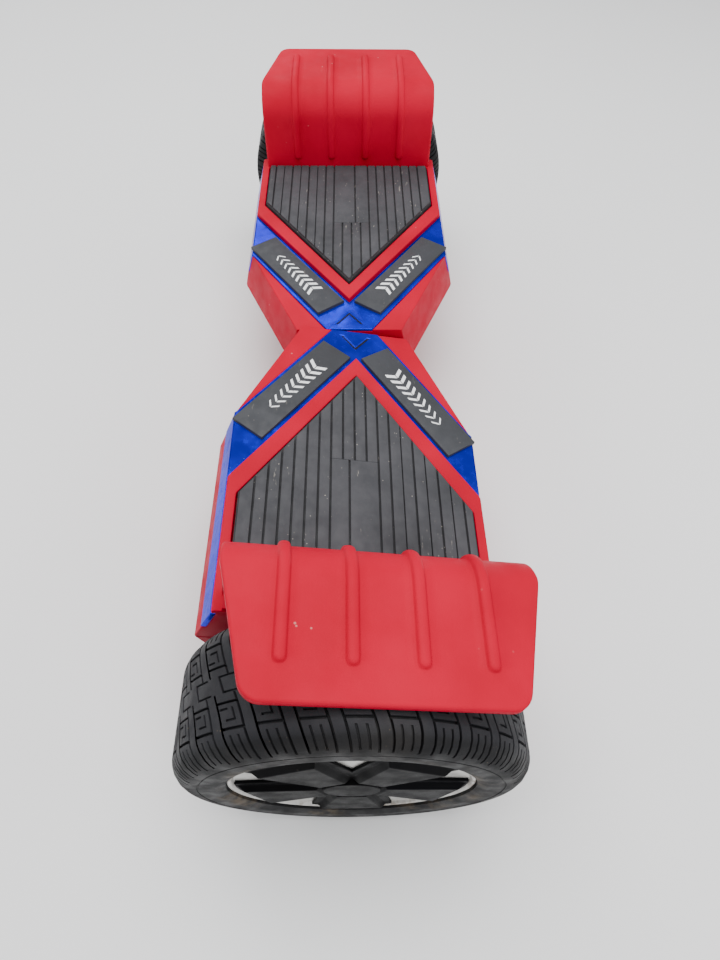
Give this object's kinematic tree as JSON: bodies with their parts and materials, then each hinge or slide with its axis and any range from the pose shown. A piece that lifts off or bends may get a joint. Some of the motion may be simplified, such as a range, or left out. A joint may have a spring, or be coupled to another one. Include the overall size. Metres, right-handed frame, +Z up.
{
  "type": "self balancing hoverboard",
  "caption": "Twisting two half self balancing board: hub motor wheels at both ends, sprung foot pads, mudguards and a blue V trim.",
  "frame": {"origin": "on the ground, midway between the two wheels, under the wheel axle", "axes": "+X along the wheel axle from the left half (with battery and charge port) to the right half, +Y the riding direction, +Z up"},
  "size_m": [0.723, 0.21, 0.2302],
  "materials": {
    "red_shell": "satin moulded",
    "blue_trim": "mirror gloss plated",
    "pad_rubber": "matt, ribbed",
    "grip_rubber": "matt",
    "tyre_rubber": "matt, treaded",
    "rim_silver": "satin painted",
    "hub_black": "semi gloss",
    "motor_black": "semi gloss",
    "cast_alloy": "cast",
    "turned_steel": "turned",
    "zinc_steel": "zinc plated",
    "black_screws": "black oxide",
    "lamination_steel": "laminated",
    "copper_wire": "enamelled",
    "magnet_nickel": "nickel plated",
    "bush_bronze": "sintered",
    "sleeve_blue": "shrink sleeve",
    "circuit_board": "solder mask",
    "cable_black": "matt",
    "black_plastic": "moulded",
    "cap_rubber": "matt",
    "button_steel": "brushed"
  },
  "bodies": {
    "left_half": {"left_upper_shell": "red_shell", "left_lower_shell": "red_shell", "left_trim_band": "blue_trim", "left_fender": "red_shell", "left_body_screws": "black_screws", "left_fender_screws": "black_screws", "left_axle_cap": "cast_alloy", "left_axle_cap_screws": "zinc_steel", "left_motor_axle": "turned_steel", "left_stator": "lamination_steel", "left_stator_windings": "copper_wire", "left_gyro_board": "circuit_board", "left_front_grip": "grip_rubber", "left_rear_grip": "grip_rubber", "left_chassis": "cast_alloy", "left_motor_cable": "cable_black", "battery_pack": "sleeve_blue", "battery_strap": "zinc_steel", "battery_cable": "cable_black", "charge_socket": "black_plastic", "power_switch": "black_plastic", "centre_tube": "turned_steel", "tube_circlip": "turned_steel", "stop_pin": "turned_steel"},
    "right_half": {"right_upper_shell": "red_shell", "right_lower_shell": "red_shell", "right_trim_band": "blue_trim", "right_fender": "red_shell", "right_body_screws": "black_screws", "right_fender_screws": "black_screws", "right_axle_cap": "cast_alloy", "right_axle_cap_screws": "zinc_steel", "right_motor_axle": "turned_steel", "right_stator": "lamination_steel", "right_stator_windings": "copper_wire", "right_gyro_board": "circuit_board", "right_front_grip": "grip_rubber", "right_rear_grip": "grip_rubber", "right_chassis": "cast_alloy", "right_motor_cable": "cable_black", "pivot_bush": "bush_bronze", "main_board": "circuit_board"},
    "left_wheel": {"left_magnet_ring": "magnet_nickel", "left_wheel_rim": "rim_silver", "left_motor_cover": "motor_black", "left_cover_screws": "zinc_steel", "left_wheel_bearings": "turned_steel", "left_hub_cap": "hub_black", "left_tyre": "tyre_rubber"},
    "right_wheel": {"right_magnet_ring": "magnet_nickel", "right_wheel_rim": "rim_silver", "right_motor_cover": "motor_black", "right_cover_screws": "zinc_steel", "right_wheel_bearings": "turned_steel", "right_hub_cap": "hub_black", "right_tyre": "tyre_rubber"},
    "left_pad": {"left_foot_pad": "pad_rubber"},
    "right_pad": {"right_foot_pad": "pad_rubber"},
    "charge_flap": {"charge_cap": "cap_rubber"},
    "power_key": {"power_button": "button_steel"}
  },
  "joints": [
    {"name": "centre_twist", "type": "hinge", "parent": "left_half", "child": "right_half", "pos_m": [0, 0, 0.105], "axis": [1, 0, 0], "range_deg": [-5.7, 24.3]},
    {"name": "left_wheel_spin", "type": "hinge", "parent": "left_half", "child": "left_wheel", "pos_m": [-0.3235, 0, 0.105], "axis": [1, 0, 0], "continuous": true},
    {"name": "right_wheel_spin", "type": "hinge", "parent": "right_half", "child": "right_wheel", "pos_m": [0.3235, 0, 0.105], "axis": [1, 0, 0], "continuous": true},
    {"name": "left_pad_press", "type": "slide", "parent": "left_half", "child": "left_pad", "axis": [0, 0, 1], "range_m": [-0.002, 0], "stiffness_N_per_m": 20000, "springref_m": 0.0004},
    {"name": "right_pad_press", "type": "slide", "parent": "right_half", "child": "right_pad", "axis": [0, 0.1616, 0.9869], "range_m": [-0.002, 0], "stiffness_N_per_m": 20000, "springref_m": 0.0004},
    {"name": "charge_flap_hinge", "type": "hinge", "parent": "left_half", "child": "charge_flap", "pos_m": [-0.197, -0.0893, 0.091], "axis": [-1, 0, 0], "range_deg": [0, 90]},
    {"name": "power_key_press", "type": "slide", "parent": "left_half", "child": "power_key", "axis": [0, -1, 0], "range_m": [-0.0015, 0], "stiffness_N_per_m": 600, "springref_m": 0.0006}
  ]
}
